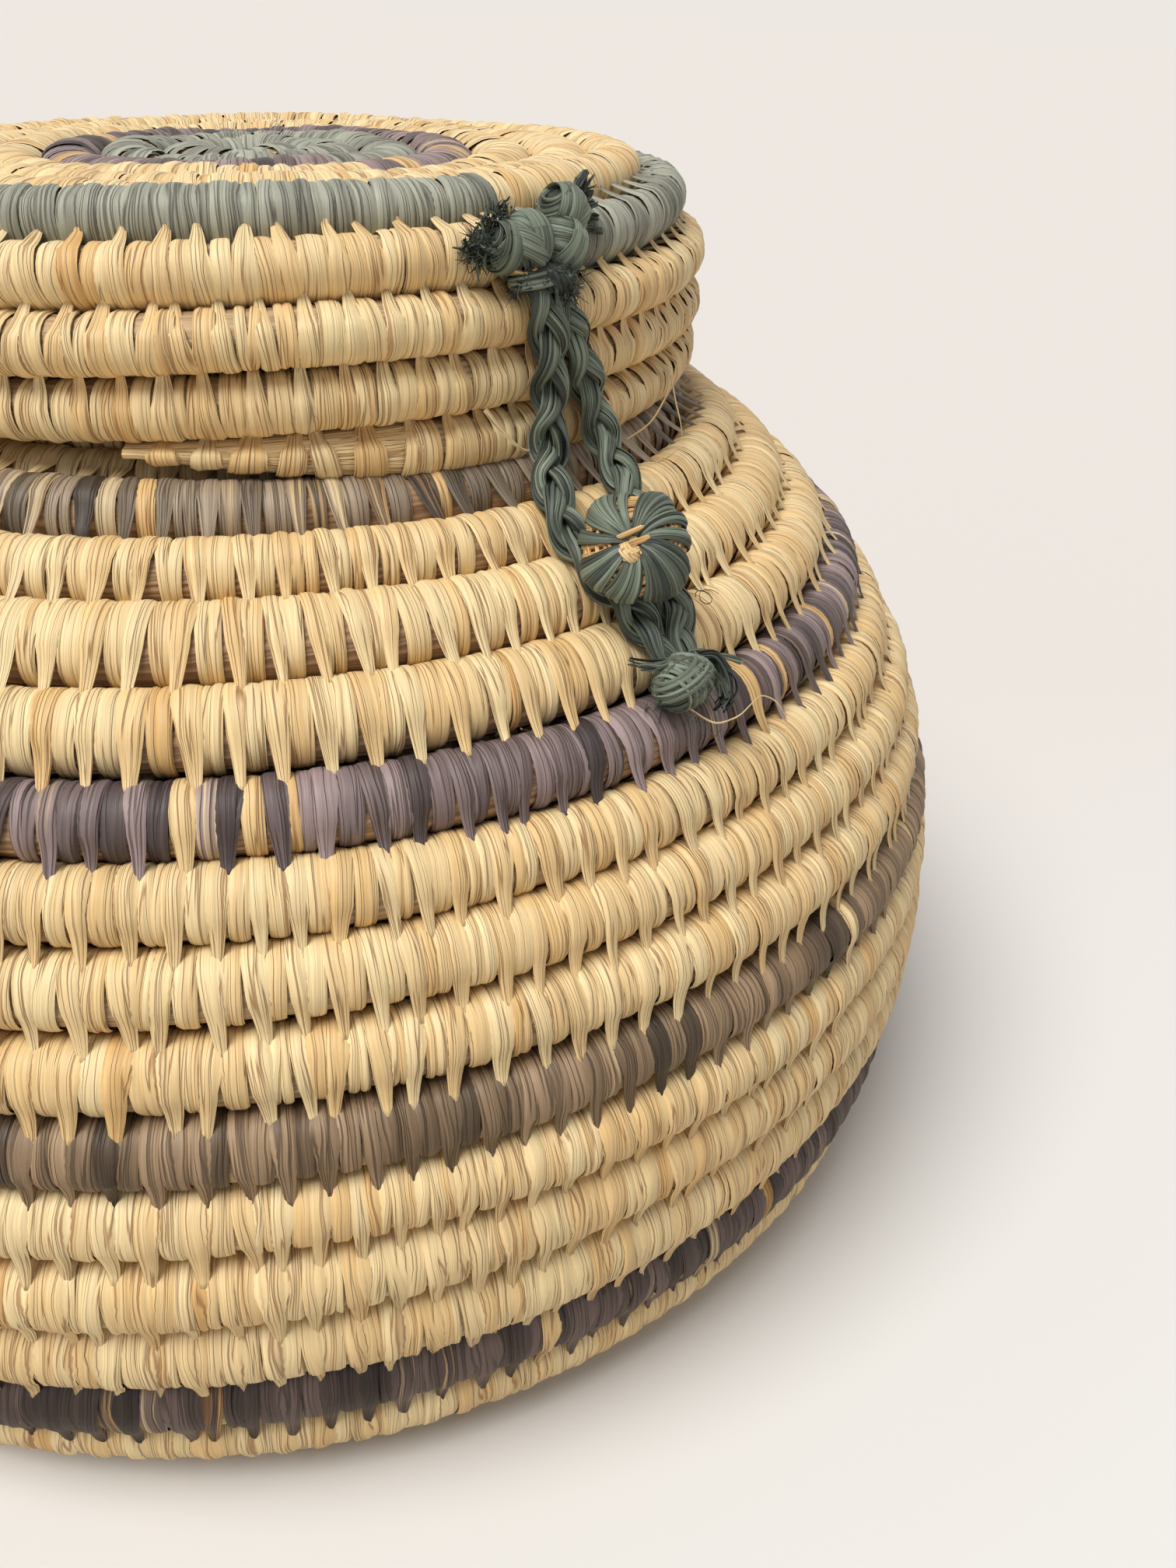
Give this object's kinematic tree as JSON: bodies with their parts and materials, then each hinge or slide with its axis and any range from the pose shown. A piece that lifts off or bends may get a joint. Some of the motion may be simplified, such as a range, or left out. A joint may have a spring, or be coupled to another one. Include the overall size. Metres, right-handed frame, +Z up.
{
  "type": "lidded coiled basket",
  "caption": "Round-bellied coiled basket with dyed raffia rows, a lift-off cap lid and a plaited loop that hooks over a wound button.",
  "frame": {"origin": "under the middle of the base, on the surface that the basket stands on", "axes": "+Z up out of the mouth, -Y to the closure, +X to the right seen from the closure"},
  "size_m": [0.267, 0.267, 0.1831],
  "materials": {
    "raffia_natural": "raffia strip, dry satin",
    "straw_core": "coiled grass straw, matt",
    "raffia_purple": "raffia strip, dry satin",
    "raffia_purple_dark": "raffia strip, dry satin",
    "raffia_plum": "raffia strip, dry satin",
    "raffia_olive": "raffia strip, dry satin",
    "raffia_green": "raffia strip, dry satin",
    "raffia_green_dark": "raffia strip, dry satin"
  },
  "bodies": {
    "basket": {"base_coil": "raffia_natural", "wall_heel_natural": "raffia_natural", "wall_low_purple": "raffia_purple_dark", "wall_low_natural": "raffia_natural", "wall_middle_olive": "raffia_olive", "wall_middle_natural": "raffia_natural", "wall_high_purple": "raffia_purple", "wall_high_natural": "raffia_natural", "shoulder_plum": "raffia_plum", "neck_natural": "raffia_natural", "neck_rim": "raffia_natural", "button_core": "straw_core", "button_wrap": "raffia_green", "button_middle_knot": "raffia_natural", "button_shank": "raffia_green_dark"},
    "lid": {"lid_middle_green": "raffia_green", "lid_ring_purple": "raffia_purple", "lid_top_natural": "raffia_natural", "lid_edge_green": "raffia_green", "lid_side_natural": "raffia_natural", "knot_top_left": "raffia_green", "knot_top_right": "raffia_green", "knot_top_tie": "raffia_green_dark", "tuft_top_left": "raffia_green_dark", "tuft_top_right": "raffia_green_dark"},
    "closure_loop": {"loop_left_plait": "raffia_green", "loop_right_plait": "raffia_green", "loop_end_knot": "raffia_green", "tuft_end": "raffia_green_dark"}
  },
  "joints": [
    {"name": "lid_lift", "type": "slide", "parent": "basket", "child": "lid", "axis": [0, 0, 1], "range_m": [0, 0.08], "deforming": ["loop_left_plait", "loop_right_plait", "loop_end_knot", "tuft_end"]},
    {"name": "loop_swing", "type": "hinge", "parent": "lid", "child": "closure_loop", "pos_m": [0.0011, -0.0789, 0.1678], "axis": [-1, 0, 0], "range_deg": [0, 150], "deforming": ["loop_left_plait", "loop_right_plait", "loop_end_knot", "tuft_end"]}
  ]
}
